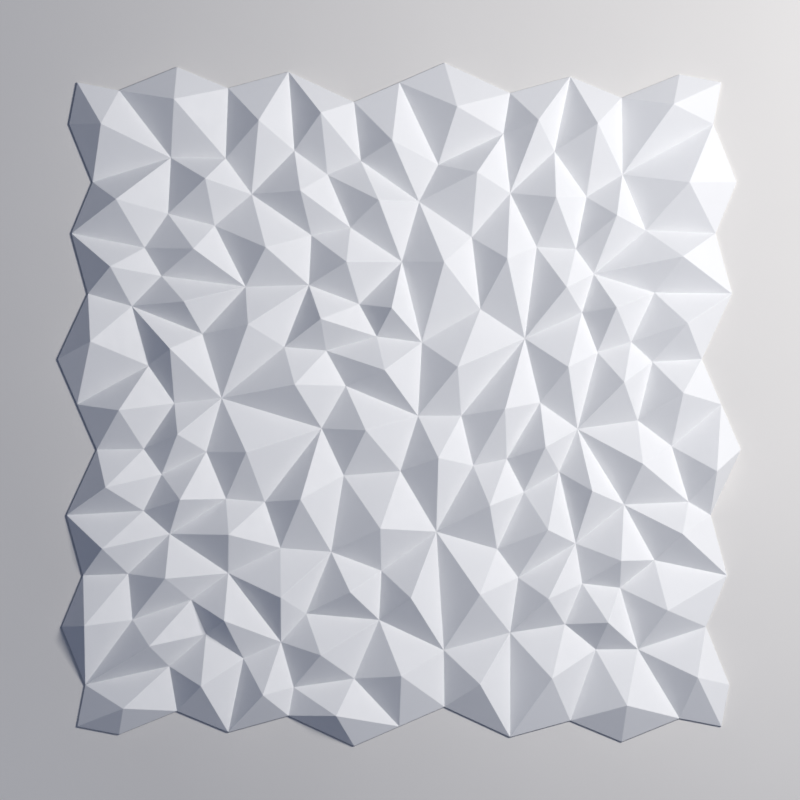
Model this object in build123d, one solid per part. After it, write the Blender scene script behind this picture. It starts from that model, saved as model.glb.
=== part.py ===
from build123d import *
import os

# A square wall panel moulded in one piece from a stiff polymer. Its face is a net of 80 low
# pyramids, no two alike, all of one height, whose feet meet in straight folds. The back is
# hollow under each pyramid. The panel lies on its back, face up: the origin is the middle of
# the back, +X is the panel's right side and +Y its top side. Lengths are in millimetres.

# Driving sizes
PITCH = 600.0  # side of the square that the four corners stand on, so the spacing of panels
RIM_THICKNESS = 2.0  # height of the outer edge, and of the face along every fold
FACET_WALL = 3.5  # thickness of the sheet under the facets, measured straight up
RELIEF = 22.0  # height of the peaks above the folds

# The plan is drawn in units of its own, read to the right and down. Two corners of the square
# give its scale and its centre.
TOP_LEFT = (76.8, 81.9)
BOTTOM_RIGHT = (720.8, 725.9)
DRAWN_PITCH = BOTTOM_RIGHT[0] - TOP_LEFT[0]
DRAWN_CENTRE = [(low + high) / 2 for low, high in zip(TOP_LEFT, BOTTOM_RIGHT)]
UNIT = PITCH / DRAWN_PITCH

# Half of one edge: how far along from its corner, and how far out from the straight line.
# The other half is the same line turned half a turn, and the four edges are alike, so a panel
# meets its neighbours in any of its four rotations.
HALF_EDGE = [(41.8, -8.0), (99.7, 15.4), (151.0, -5.8), (211.3, 10.7), (276.8, -19.6)]

# The low points inside the panel, where the folds meet
FOLDS = {
    "V1": (170.5, 157.3), "V2": (225.2, 158.0), "V3": (167.6, 213.3), "V4": (214.3, 225.2),
    "V5": (251.2, 193.8), "V6": (144.2, 247.3), "V7": (161.0, 275.5), "V8": (131.5, 305.8),
    "V9": (245.1, 286.3), "V10": (201.8, 333.5), "V11": (221.2, 397.8), "V12": (148.0, 365.2),
    "V13": (173.9, 402.7), "V14": (143.3, 448.5), "V15": (205.9, 451.2), "V16": (161.3, 474.0),
    "V17": (143.1, 510.4), "V18": (225.5, 498.3), "V19": (169.2, 533.4), "V20": (127.8, 573.3),
    "V21": (227.8, 572.6), "V22": (190.8, 599.2), "V23": (132.1, 619.3), "V24": (205.6, 633.5),
    "V25": (168.9, 665.7), "V26": (243.0, 657.8), "V27": (293.9, 150.2), "V28": (327.0, 174.2),
    "V29": (360.3, 160.3), "V30": (310.9, 234.8), "V31": (349.9, 227.1), "V32": (308.4, 284.6),
    "V33": (358.8, 303.7), "V34": (401.4, 261.3), "V35": (418.6, 201.3), "V36": (437.8, 164.2),
    "V37": (376.2, 336.0), "V38": (421.4, 342.0), "V39": (325.7, 350.1), "V40": (283.9, 346.5),
    "V41": (345.3, 385.5), "V42": (321.1, 427.8), "V43": (264.4, 501.5), "V44": (280.0, 547.4),
    "V45": (343.2, 474.9), "V46": (399.9, 470.6), "V47": (417.5, 415.3), "V48": (330.7, 551.4),
    "V49": (380.9, 570.1), "V50": (280.5, 641.4), "V51": (305.6, 613.0), "V52": (293.2, 686.7),
    "V53": (378.6, 619.3), "V54": (353.7, 678.1), "V55": (443.2, 649.6), "V56": (435.8, 531.2),
    "V57": (471.3, 236.9), "V58": (503.0, 133.2), "V59": (509.7, 192.7), "V60": (554.0, 151.0),
    "V61": (585.9, 196.6), "V62": (536.2, 246.5), "V63": (575.4, 248.7), "V64": (479.8, 308.6),
    "V65": (524.3, 338.0), "V66": (460.7, 415.2), "V67": (539.6, 402.0), "V68": (506.3, 458.4),
    "V69": (472.7, 465.0), "V70": (577.0, 428.5), "V71": (558.6, 471.2), "V72": (523.4, 491.7),
    "V73": (496.7, 548.6), "V74": (517.7, 577.0), "V75": (509.6, 632.2), "V76": (564.4, 623.7),
    "V77": (581.6, 582.9), "V78": (575.1, 542.9), "V79": (621.9, 174.2), "V80": (645.1, 229.9),
    "V81": (593.3, 273.5), "V82": (653.8, 292.2), "V83": (581.5, 312.2), "V84": (630.6, 341.5),
    "V85": (597.1, 352.0), "V86": (651.8, 361.2), "V87": (637.1, 419.9), "V88": (671.1, 445.7),
    "V89": (688.1, 501.3), "V90": (623.5, 504.1), "V91": (653.9, 559.6), "V92": (619.5, 587.3),
    "V93": (637.3, 648.6), "V94": (595.3, 648.9),
}

# The pyramids: the low points round the foot, and where the peak stands.
# T, R, B and L are points of the top, right, bottom and left edges, numbered clockwise.
PYRAMIDS = [
    ("T0 T1 V1 L10 L11", (101.0, 123.5)),
    ("T1 T2 T3 V2 V1", (173.8, 98.9)),
    ("L10 V1 V3 V6 L9", (115.9, 199.0)),
    ("V1 V2 V5 V4 V3", (205.2, 178.3)),
    ("V3 V4 V9 V7 V6", (193.5, 248.4)),
    ("L9 V6 V7 V8 L8", (110.2, 266.2)),
    ("V8 V7 V9 V10", (183.6, 301.0)),
    ("V8 V10 V11 V13 V12", (169.8, 348.2)),
    ("L8 V8 V12 L6 L7", (90.3, 341.0)),
    ("L6 V12 V13 V14 L5", (118.8, 409.7)),
    ("V13 V11 V15 V16 V14", (177.4, 433.8)),
    ("L5 V14 V16 V17 L4", (105.5, 486.8)),
    ("V16 V15 V18 V19 V17", (179.9, 499.0)),
    ("V18 V43 V44 V21 V19", (228.4, 534.0)),
    ("V11 V42 V43 V18 V15", (246.0, 451.7)),
    ("L4 V17 V19 V20 L3", (102.1, 548.0)),
    ("V19 V21 V22 V23 V20", (165.1, 577.8)),
    ("L3 V20 V23 L1 L2", (84.3, 625.2)),
    ("V23 V22 V24 V25 L1", (149.2, 645.4)),
    ("L1 V25 B10 B11 L0", (123.1, 707.6)),
    ("V22 V21 V50 V26 V24", (223.9, 619.9)),
    ("V21 V44 V48 V51 V50", (280.5, 597.0)),
    ("V25 V24 V26 B9 B10", (200.9, 685.4)),
    ("V26 V50 V52 B8 B9", (262.7, 694.3)),
    ("T3 T4 V27 V5 V2", (258.5, 120.2)),
    ("T4 T5 V29 V28 V27", (320.5, 112.6)),
    ("T5 T6 V36 V35 V29", (391.9, 140.4)),
    ("V5 V27 V28 V31 V30", (300.0, 190.3)),
    ("V28 V29 V35 V34 V31", (378.2, 199.7)),
    ("V4 V5 V30 V32 V9", (265.5, 247.0)),
    ("V30 V31 V34 V33 V32", (346.1, 261.5)),
    ("V33 V34 V38 V37", (391.3, 307.4)),
    ("V32 V33 V37 V39 V40", (320.4, 318.5)),
    ("V9 V32 V40 V11 V10", (247.7, 324.1)),
    ("V11 V40 V39 V41 V42", (294.3, 384.0)),
    ("V42 V41 V47 V46 V45", (365.3, 429.8)),
    ("V39 V37 V38 V47 V41", (384.2, 369.5)),
    ("V43 V42 V45 V48 V44", (300.2, 498.9)),
    ("V45 V46 V56 V49 V48", (379.9, 528.0)),
    ("V50 V51 V53 V54 V52", (320.4, 654.3)),
    ("V52 V54 B6 B7 B8", (335.7, 714.9)),
    ("V54 V53 V55 B5 B6", (400.8, 675.1)),
    ("V51 V48 V49 V53", (349.9, 591.5)),
    ("V49 V56 V55 V53", (410.5, 597.3)),
    ("T6 T7 T8 V58 V36", (456.5, 106.4)),
    ("V36 V58 V59 V57 V35", (476.6, 172.0)),
    ("V35 V57 V64 V38 V34", (443.7, 261.7)),
    ("V38 V64 V65 V66 V47", (457.3, 366.6)),
    ("V57 V59 V62 V65 V64", (506.8, 258.3)),
    ("T8 T9 V60 V59 V58", (538.0, 119.8)),
    ("V59 V60 V61 V63 V62", (555.4, 196.8)),
    ("T9 T10 V79 V61 V60", (597.1, 123.2)),
    ("V61 V79 V80 V81 V63", (616.3, 215.0)),
    ("T10 T11 R0 R1 V79", (672.7, 104.2)),
    ("R1 R2 R3 V80 V79", (688.5, 182.0)),
    ("V80 R3 R4 V82 V81", (682.2, 256.1)),
    ("V83 V81 V82 V84 V85", (615.8, 306.9)),
    ("V62 V63 V81 V83 V65", (565.9, 286.7)),
    ("V65 V83 V85 V70 V67", (567.7, 366.6)),
    ("V85 V84 V86 V87 V70", (623.4, 381.8)),
    ("V82 R4 R5 V86 V84", (686.8, 322.8)),
    ("V86 R5 R6 V88 V87", (682.5, 392.4)),
    ("V88 R6 R7 R8 V89", (716.1, 470.6)),
    ("V70 V87 V88 V89 V90", (642.0, 463.2)),
    ("V70 V90 V78 V71", (591.6, 490.3)),
    ("V68 V67 V70 V71 V72", (544.8, 446.6)),
    ("V66 V65 V67 V68 V69", (504.6, 408.3)),
    ("V46 V47 V66 V69 V56", (437.9, 457.4)),
    ("V69 V68 V72 V73 V56", (489.2, 505.2)),
    ("V72 V71 V78 V74 V73", (547.4, 529.2)),
    ("V56 V73 V74 V75 V55", (479.4, 594.0)),
    ("V74 V78 V77 V76 V75", (547.8, 598.1)),
    ("V78 V90 V91 V92 V77", (620.5, 560.0)),
    ("V90 V89 R8 R9 V91", (681.6, 533.1)),
    ("V92 V91 R9 R10 V93", (666.8, 609.6)),
    ("V76 V77 V92 V93 V94", (607.4, 621.7)),
    ("V75 V76 V94 B3 B4", (551.4, 677.6)),
    ("V55 V75 B4 B5", (479.6, 683.5)),
    ("V94 V93 B1 B2 B3", (626.2, 704.5)),
    ("V93 R10 R11 B0 B1", (696.8, 676.6)),
]


def to_panel(reading):
    """Turn a reading of the drawing into a place on the panel."""
    right, down = reading
    return ((right - DRAWN_CENTRE[0]) * UNIT, (DRAWN_CENTRE[1] - down) * UNIT)


def rim_points():
    """Name the rim's low points, clockwise from the top left corner."""
    half = DRAWN_PITCH / 2
    mirrored = [(DRAWN_PITCH - along, -out) for along, out in reversed(HALF_EDGE)]
    edge = [(0.0, 0.0)] + HALF_EDGE + [(half, 0.0)] + mirrored
    points = {}
    for turns, side in enumerate("TRBL"):
        for number, (along, out) in enumerate(edge):
            place = Vector(along - half, half + out).rotate(Axis.Z, -90 * turns) * UNIT
            points[f"{side}{number}"] = (place.X, place.Y)
    return points


def raised(points, height):
    """Lift plan points to one height."""
    return [(x, y, height) for x, y in points]


def flat_face(points, openings=()):
    """A flat face inside a ring of points, with openings cut in it."""
    wires = [Wire.make_polygon(opening) for opening in openings]
    return Face(Wire.make_polygon(points), wires)


def facets(foot, peak):
    """The flat triangles that rise from each side of a foot to its peak."""
    return [flat_face([start, end, peak]) for start, end in zip(foot, foot[1:] + foot[:1])]


def rim_faces(outline):
    """The upright faces round the panel, from its back to its face."""
    back = raised(outline, 0.0)
    front = raised(outline, RIM_THICKNESS)
    return [flat_face([back[i - 1], back[i], front[i], front[i - 1]]) for i in range(len(outline))]


def hollow_foot(foot, peak, hollow_height):
    """The mouth of a hollow, drawn in from the pyramid's foot so that the sides lie parallel."""
    share = hollow_height / RELIEF
    return [tuple(p + (f - p) * share for f, p in zip(point, peak)) for point in foot]


def wall_panel():
    """The whole panel: rim, front facets, hollows, and the back between the hollows."""
    rim = rim_points()
    low = {name: to_panel(reading) for name, reading in FOLDS.items()} | rim
    outline = list(rim.values())
    hollow_height = RIM_THICKNESS + RELIEF - FACET_WALL

    faces = rim_faces(outline)
    mouths = []
    for names, reading in PYRAMIDS:
        foot = [low[name] for name in names.split()]
        peak = to_panel(reading)
        faces += facets(raised(foot, RIM_THICKNESS), (*peak, RIM_THICKNESS + RELIEF))
        mouth = raised(hollow_foot(foot, peak, hollow_height), 0.0)
        faces += facets(mouth, (*peak, hollow_height))
        mouths.append(mouth)

    faces.append(flat_face(raised(outline, 0.0), mouths))
    return Solid(Shell(faces))


os.makedirs("parts", exist_ok=True)
export_step(wall_panel(), "parts/wall_panel.step")
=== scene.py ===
import math

import bmesh
import bpy
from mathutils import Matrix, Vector


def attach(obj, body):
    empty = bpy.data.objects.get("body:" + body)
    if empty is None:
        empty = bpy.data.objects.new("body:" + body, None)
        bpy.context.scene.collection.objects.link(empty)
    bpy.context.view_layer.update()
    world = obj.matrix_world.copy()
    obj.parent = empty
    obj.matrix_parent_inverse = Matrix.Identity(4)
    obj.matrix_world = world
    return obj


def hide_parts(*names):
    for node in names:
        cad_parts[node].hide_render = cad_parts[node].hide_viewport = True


# A faceted wall panel lying face up on a pale floor, seen from straight above. The panel's top
# side is +Y. Lengths are in metres.

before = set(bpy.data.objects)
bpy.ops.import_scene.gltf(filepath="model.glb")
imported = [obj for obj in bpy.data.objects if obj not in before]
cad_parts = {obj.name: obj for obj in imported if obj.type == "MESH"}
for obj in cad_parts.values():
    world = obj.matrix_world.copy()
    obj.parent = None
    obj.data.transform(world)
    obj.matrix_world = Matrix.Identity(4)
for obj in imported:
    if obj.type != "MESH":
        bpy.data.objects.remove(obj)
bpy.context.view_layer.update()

NODE = "wall_panel"

# The photograph is 800 pixels wide, and the panel's pitch of 0.6 m is 644 of them
PHOTO_WIDTH = 800
PITCH_PIXELS = 644.0
PITCH = 0.6
PIXEL = PITCH / PITCH_PIXELS
PANEL_CENTRE_PIXEL = (398.8, 403.9)
PHOTO_CENTRE_PIXEL = (399.5, 399.5)

# A camera's lens and sensor are set in millimetres
CAMERA_HEIGHT = 12.0
SENSOR_WIDTH = 0.036
MILLIMETRES_PER_METRE = 1000.0

# The lamp stands up and to the right of the panel, as a soft box aimed at its middle. Its power
# is in watts, and its foot is the spot of floor below it.
LAMP_DISTANCE = 1.65
LAMP_AZIMUTH = math.radians(25.0)
LAMP_ELEVATION = math.radians(51.0)
TOWARDS_LAMP = Vector((
    math.cos(LAMP_ELEVATION) * math.cos(LAMP_AZIMUTH),
    math.cos(LAMP_ELEVATION) * math.sin(LAMP_AZIMUTH),
    math.sin(LAMP_ELEVATION),
))
LAMP_FOOT = (TOWARDS_LAMP.x * LAMP_DISTANCE, TOWARDS_LAMP.y * LAMP_DISTANCE, 0.0)
LAMP_SIZE = 0.4
LAMP_POWER = 23.1
LAMP_COLOUR = (1.0, 0.973, 0.943)

# A slightly blue light from all round fills the shaded facets
FILL_COLOUR = (0.47, 0.60, 1.0)
FILL_STRENGTH = 0.168

# Past the lamp's reach the floor and the room stay pale, as they do in a wide studio
BACKDROP_COLOUR = (0.98, 0.99, 1.0)
BACKDROP_LEVEL = 0.55
REACH_START = 1.4
REACH_END = 3.4

# The mould leaves a small radius along every fold, ridge and edge. They all turn by 9 degrees or
# more, and the edges that only split a facet lie flat.
EDGE_RADIUS = 0.0004
EDGE_STEPS = 2
FLAT_ANGLE = math.radians(3.0)
WELD_DISTANCE = 1e-6

# Each noise is a pair: how far apart its lumps are, and how many finer layers lie over them.
# Most of what a noise gives is between NOISE_LOW and NOISE_HIGH.
NOISE_LOW = 0.3
NOISE_HIGH = 0.7

# The polymer's tone and sheen drift a little, over faint flow ripples and the mould's fine grain
PANEL_COLOUR = (0.82, 0.83, 0.84)
PANEL_TONE = (0.045, 3.0)
PANEL_TONE_SPREAD = 0.01
PANEL_SHEEN = (0.012, 2.0)
PANEL_ROUGHNESS = (0.52, 0.62)
PANEL_SPECULAR = 0.4
RIPPLES = (0.012, 1.0)
RIPPLE_DEPTH = 0.00006
MOULD_GRAIN = (0.0006, 2.0)
MOULD_GRAIN_DEPTH = 0.00003

# The floor stands clear of the panel's flat back, so that no two surfaces share a plane
FLOOR_SIZE = 12.0
FLOOR_DROP = 0.0002
FLOOR_COLOUR = (0.73, 0.72, 0.70)
FLOOR_TONE = (0.25, 4.0)
FLOOR_TONE_SPREAD = 0.015
FLOOR_ROUGHNESS = 0.8
FLOOR_SPECULAR = 0.2
FLOOR_GRAIN = (0.0015, 3.0)
FLOOR_GRAIN_DEPTH = 0.00004


def opaque(colour):
    """The colour as a shader's socket takes it, with nothing of it clear."""
    return (*colour, 1.0)


def shades(colour, spread):
    """The colour a little darker, and as much lighter."""
    darker = tuple(part * (1.0 - spread) for part in colour)
    lighter = tuple(part * (1.0 + spread) for part in colour)
    return darker, lighter


def node_material(name):
    """A new material, with its nodes and its links."""
    material = bpy.data.materials.new(name)
    material.use_nodes = True
    return material, material.node_tree.nodes, material.node_tree.links


def noise(nodes, links, place, size, detail):
    """A noise whose lumps are about as far apart as size, in metres."""
    texture = nodes.new("ShaderNodeTexNoise")
    texture.inputs["Scale"].default_value = 1.0 / size
    texture.inputs["Detail"].default_value = detail
    links.new(place, texture.inputs["Vector"])
    return texture.outputs["Fac"]


def between(nodes, links, factor, low=0.0, high=1.0):
    """A number that follows a noise from low to high."""
    span = nodes.new("ShaderNodeMapRange")
    span.inputs["From Min"].default_value = NOISE_LOW
    span.inputs["From Max"].default_value = NOISE_HIGH
    span.inputs["To Min"].default_value = low
    span.inputs["To Max"].default_value = high
    links.new(factor, span.inputs["Value"])
    return span.outputs["Result"]


def blended(nodes, links, factor, first, second):
    """A colour that follows a factor from the first colour to the second."""
    mix = nodes.new("ShaderNodeMix")
    mix.data_type = "RGBA"
    mix.inputs["A"].default_value = opaque(first)
    mix.inputs["B"].default_value = opaque(second)
    links.new(factor, mix.inputs["Factor"])
    return mix.outputs["Result"]


def bumped(nodes, links, height, depth, under=None):
    """A bump of the given depth in metres, laid over the one under it if there is one."""
    bump = nodes.new("ShaderNodeBump")
    bump.inputs["Distance"].default_value = depth
    links.new(height, bump.inputs["Height"])
    if under:
        links.new(under, bump.inputs["Normal"])
    return bump.outputs["Normal"]


def seen_directly(nodes, links):
    """1 for what the camera sees, by itself or in a gloss or a clear part, and 0 for light."""
    path = nodes.new("ShaderNodeLightPath")
    total = path.outputs["Is Camera Ray"]
    for name in ("Is Glossy Ray", "Is Transmission Ray"):
        either = nodes.new("ShaderNodeMath")
        either.operation = "MAXIMUM"
        links.new(total, either.inputs[0])
        links.new(path.outputs[name], either.inputs[1])
        total = either.outputs["Value"]
    return total


def backdrop_glow(nodes, links, place):
    """The floor's own glow: none near the lamp, and the backdrop's level past its reach."""
    distance = nodes.new("ShaderNodeVectorMath")
    distance.operation = "DISTANCE"
    distance.inputs[1].default_value = LAMP_FOOT
    links.new(place, distance.inputs[0])
    beyond = nodes.new("ShaderNodeMapRange")
    beyond.inputs["From Min"].default_value = REACH_START
    beyond.inputs["From Max"].default_value = REACH_END
    beyond.inputs["To Max"].default_value = BACKDROP_LEVEL
    links.new(distance.outputs["Value"], beyond.inputs["Value"])
    glow = nodes.new("ShaderNodeMath")
    glow.operation = "MULTIPLY"
    links.new(beyond.outputs["Result"], glow.inputs[0])
    links.new(seen_directly(nodes, links), glow.inputs[1])
    return glow.outputs["Value"]


def polymer_material():
    """Matte white polymer: a fine mould grain, faint flow ripples and a slightly uneven sheen."""
    material, nodes, links = node_material("matte_polymer")
    shader = nodes["Principled BSDF"]
    place = nodes.new("ShaderNodeTexCoord").outputs["Object"]

    tone = between(nodes, links, noise(nodes, links, place, *PANEL_TONE))
    colour = blended(nodes, links, tone, *shades(PANEL_COLOUR, PANEL_TONE_SPREAD))
    links.new(colour, shader.inputs["Base Color"])

    sheen = between(nodes, links, noise(nodes, links, place, *PANEL_SHEEN), *PANEL_ROUGHNESS)
    links.new(sheen, shader.inputs["Roughness"])
    shader.inputs["Specular IOR Level"].default_value = PANEL_SPECULAR

    ripples = bumped(nodes, links, noise(nodes, links, place, *RIPPLES), RIPPLE_DEPTH)
    lumps = noise(nodes, links, place, *MOULD_GRAIN)
    grain = bumped(nodes, links, lumps, MOULD_GRAIN_DEPTH, under=ripples)
    links.new(grain, shader.inputs["Normal"])
    return material


def floor_material():
    """A plain pale matte floor, with a little tone and grain."""
    material, nodes, links = node_material("pale_floor")
    shader = nodes["Principled BSDF"]
    place = nodes.new("ShaderNodeTexCoord").outputs["Object"]

    tone = between(nodes, links, noise(nodes, links, place, *FLOOR_TONE))
    colour = blended(nodes, links, tone, *shades(FLOOR_COLOUR, FLOOR_TONE_SPREAD))
    links.new(colour, shader.inputs["Base Color"])
    shader.inputs["Roughness"].default_value = FLOOR_ROUGHNESS
    shader.inputs["Specular IOR Level"].default_value = FLOOR_SPECULAR
    grain = bumped(nodes, links, noise(nodes, links, place, *FLOOR_GRAIN), FLOOR_GRAIN_DEPTH)
    links.new(grain, shader.inputs["Normal"])

    shader.inputs["Emission Color"].default_value = opaque(BACKDROP_COLOUR)
    links.new(backdrop_glow(nodes, links, place), shader.inputs["Emission Strength"])
    return material


def welded(source):
    """A smooth-shaded copy of the CAD mesh, whose facets share their corners."""
    form = bmesh.new()
    form.from_mesh(source)
    bmesh.ops.remove_doubles(form, verts=form.verts, dist=WELD_DISTANCE)
    for face in form.faces:
        face.smooth = True
    mesh = bpy.data.meshes.new("panel_moulding")
    form.to_mesh(mesh)
    form.free()
    # The corner normals that come with the CAD mesh would shade the flat facets as curved
    if "custom_normal" in mesh.attributes:
        mesh.attributes.remove(mesh.attributes["custom_normal"])
    return mesh


def round_edges(piece):
    """Give the piece the mould's small radius along its edges, and keep its facets flat."""
    bevel = piece.modifiers.new("mould_radius", "BEVEL")
    bevel.limit_method = "ANGLE"
    bevel.angle_limit = FLAT_ANGLE
    bevel.width = EDGE_RADIUS
    bevel.segments = EDGE_STEPS
    bevel.harden_normals = True
    bpy.context.view_layer.update()
    rounded = piece.evaluated_get(bpy.context.evaluated_depsgraph_get())
    piece.data = bpy.data.meshes.new_from_object(rounded)
    piece.modifiers.clear()


def add_panel(node):
    """The moulded panel: the CAD shape with the mould's small radius on its edges."""
    panel = bpy.data.objects.new("panel_moulding", welded(node.data))
    bpy.context.scene.collection.objects.link(panel)
    round_edges(panel)
    panel.data.materials.clear()
    panel.data.materials.append(polymer_material())
    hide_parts(NODE)
    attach(panel, "root")


def add_floor():
    """The floor under the panel, just below its back."""
    bpy.ops.mesh.primitive_plane_add(size=FLOOR_SIZE, location=(0.0, 0.0, -FLOOR_DROP))
    floor = bpy.context.object
    floor.name = "floor"
    floor.data.materials.append(floor_material())


def add_lamp():
    """One soft square lamp, aimed at the middle of the panel."""
    data = bpy.data.lights.new("key", "AREA")
    data.shape = "SQUARE"
    data.size = LAMP_SIZE
    data.energy = LAMP_POWER
    data.color = LAMP_COLOUR
    lamp = bpy.data.objects.new("key", data)
    lamp.location = TOWARDS_LAMP * LAMP_DISTANCE
    lamp.rotation_euler = (-TOWARDS_LAMP).to_track_quat("-Z", "Y").to_euler()
    bpy.context.scene.collection.objects.link(lamp)


def add_world():
    """The fill as light from all round, and the pale backdrop for what is seen of the room."""
    world = bpy.data.worlds.new("studio")
    world.use_nodes = True
    nodes, links = world.node_tree.nodes, world.node_tree.links
    fill = nodes["Background"]
    fill.inputs["Color"].default_value = opaque(FILL_COLOUR)
    fill.inputs["Strength"].default_value = FILL_STRENGTH
    backdrop = nodes.new("ShaderNodeBackground")
    backdrop.inputs["Color"].default_value = opaque(BACKDROP_COLOUR)
    backdrop.inputs["Strength"].default_value = BACKDROP_LEVEL
    either = nodes.new("ShaderNodeMixShader")
    links.new(seen_directly(nodes, links), either.inputs["Fac"])
    links.new(fill.outputs["Background"], either.inputs[1])
    links.new(backdrop.outputs["Background"], either.inputs[2])
    links.new(either.outputs["Shader"], nodes["World Output"].inputs["Surface"])
    bpy.context.scene.world = world


def add_camera():
    """A long lens straight above, so that the frame is the photograph's."""
    view_width = PHOTO_WIDTH * PIXEL
    data = bpy.data.cameras.new("camera")
    data.sensor_width = SENSOR_WIDTH * MILLIMETRES_PER_METRE
    data.lens = SENSOR_WIDTH * CAMERA_HEIGHT / view_width * MILLIMETRES_PER_METRE
    data.clip_end = 2 * CAMERA_HEIGHT
    camera = bpy.data.objects.new("camera", data)
    right = (PHOTO_CENTRE_PIXEL[0] - PANEL_CENTRE_PIXEL[0]) * PIXEL
    up = (PANEL_CENTRE_PIXEL[1] - PHOTO_CENTRE_PIXEL[1]) * PIXEL
    camera.location = (right, up, CAMERA_HEIGHT)
    bpy.context.scene.collection.objects.link(camera)
    bpy.context.scene.camera = camera


add_panel(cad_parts[NODE])
add_floor()
add_lamp()
add_world()
add_camera()
bpy.context.scene.view_settings.view_transform = "Standard"
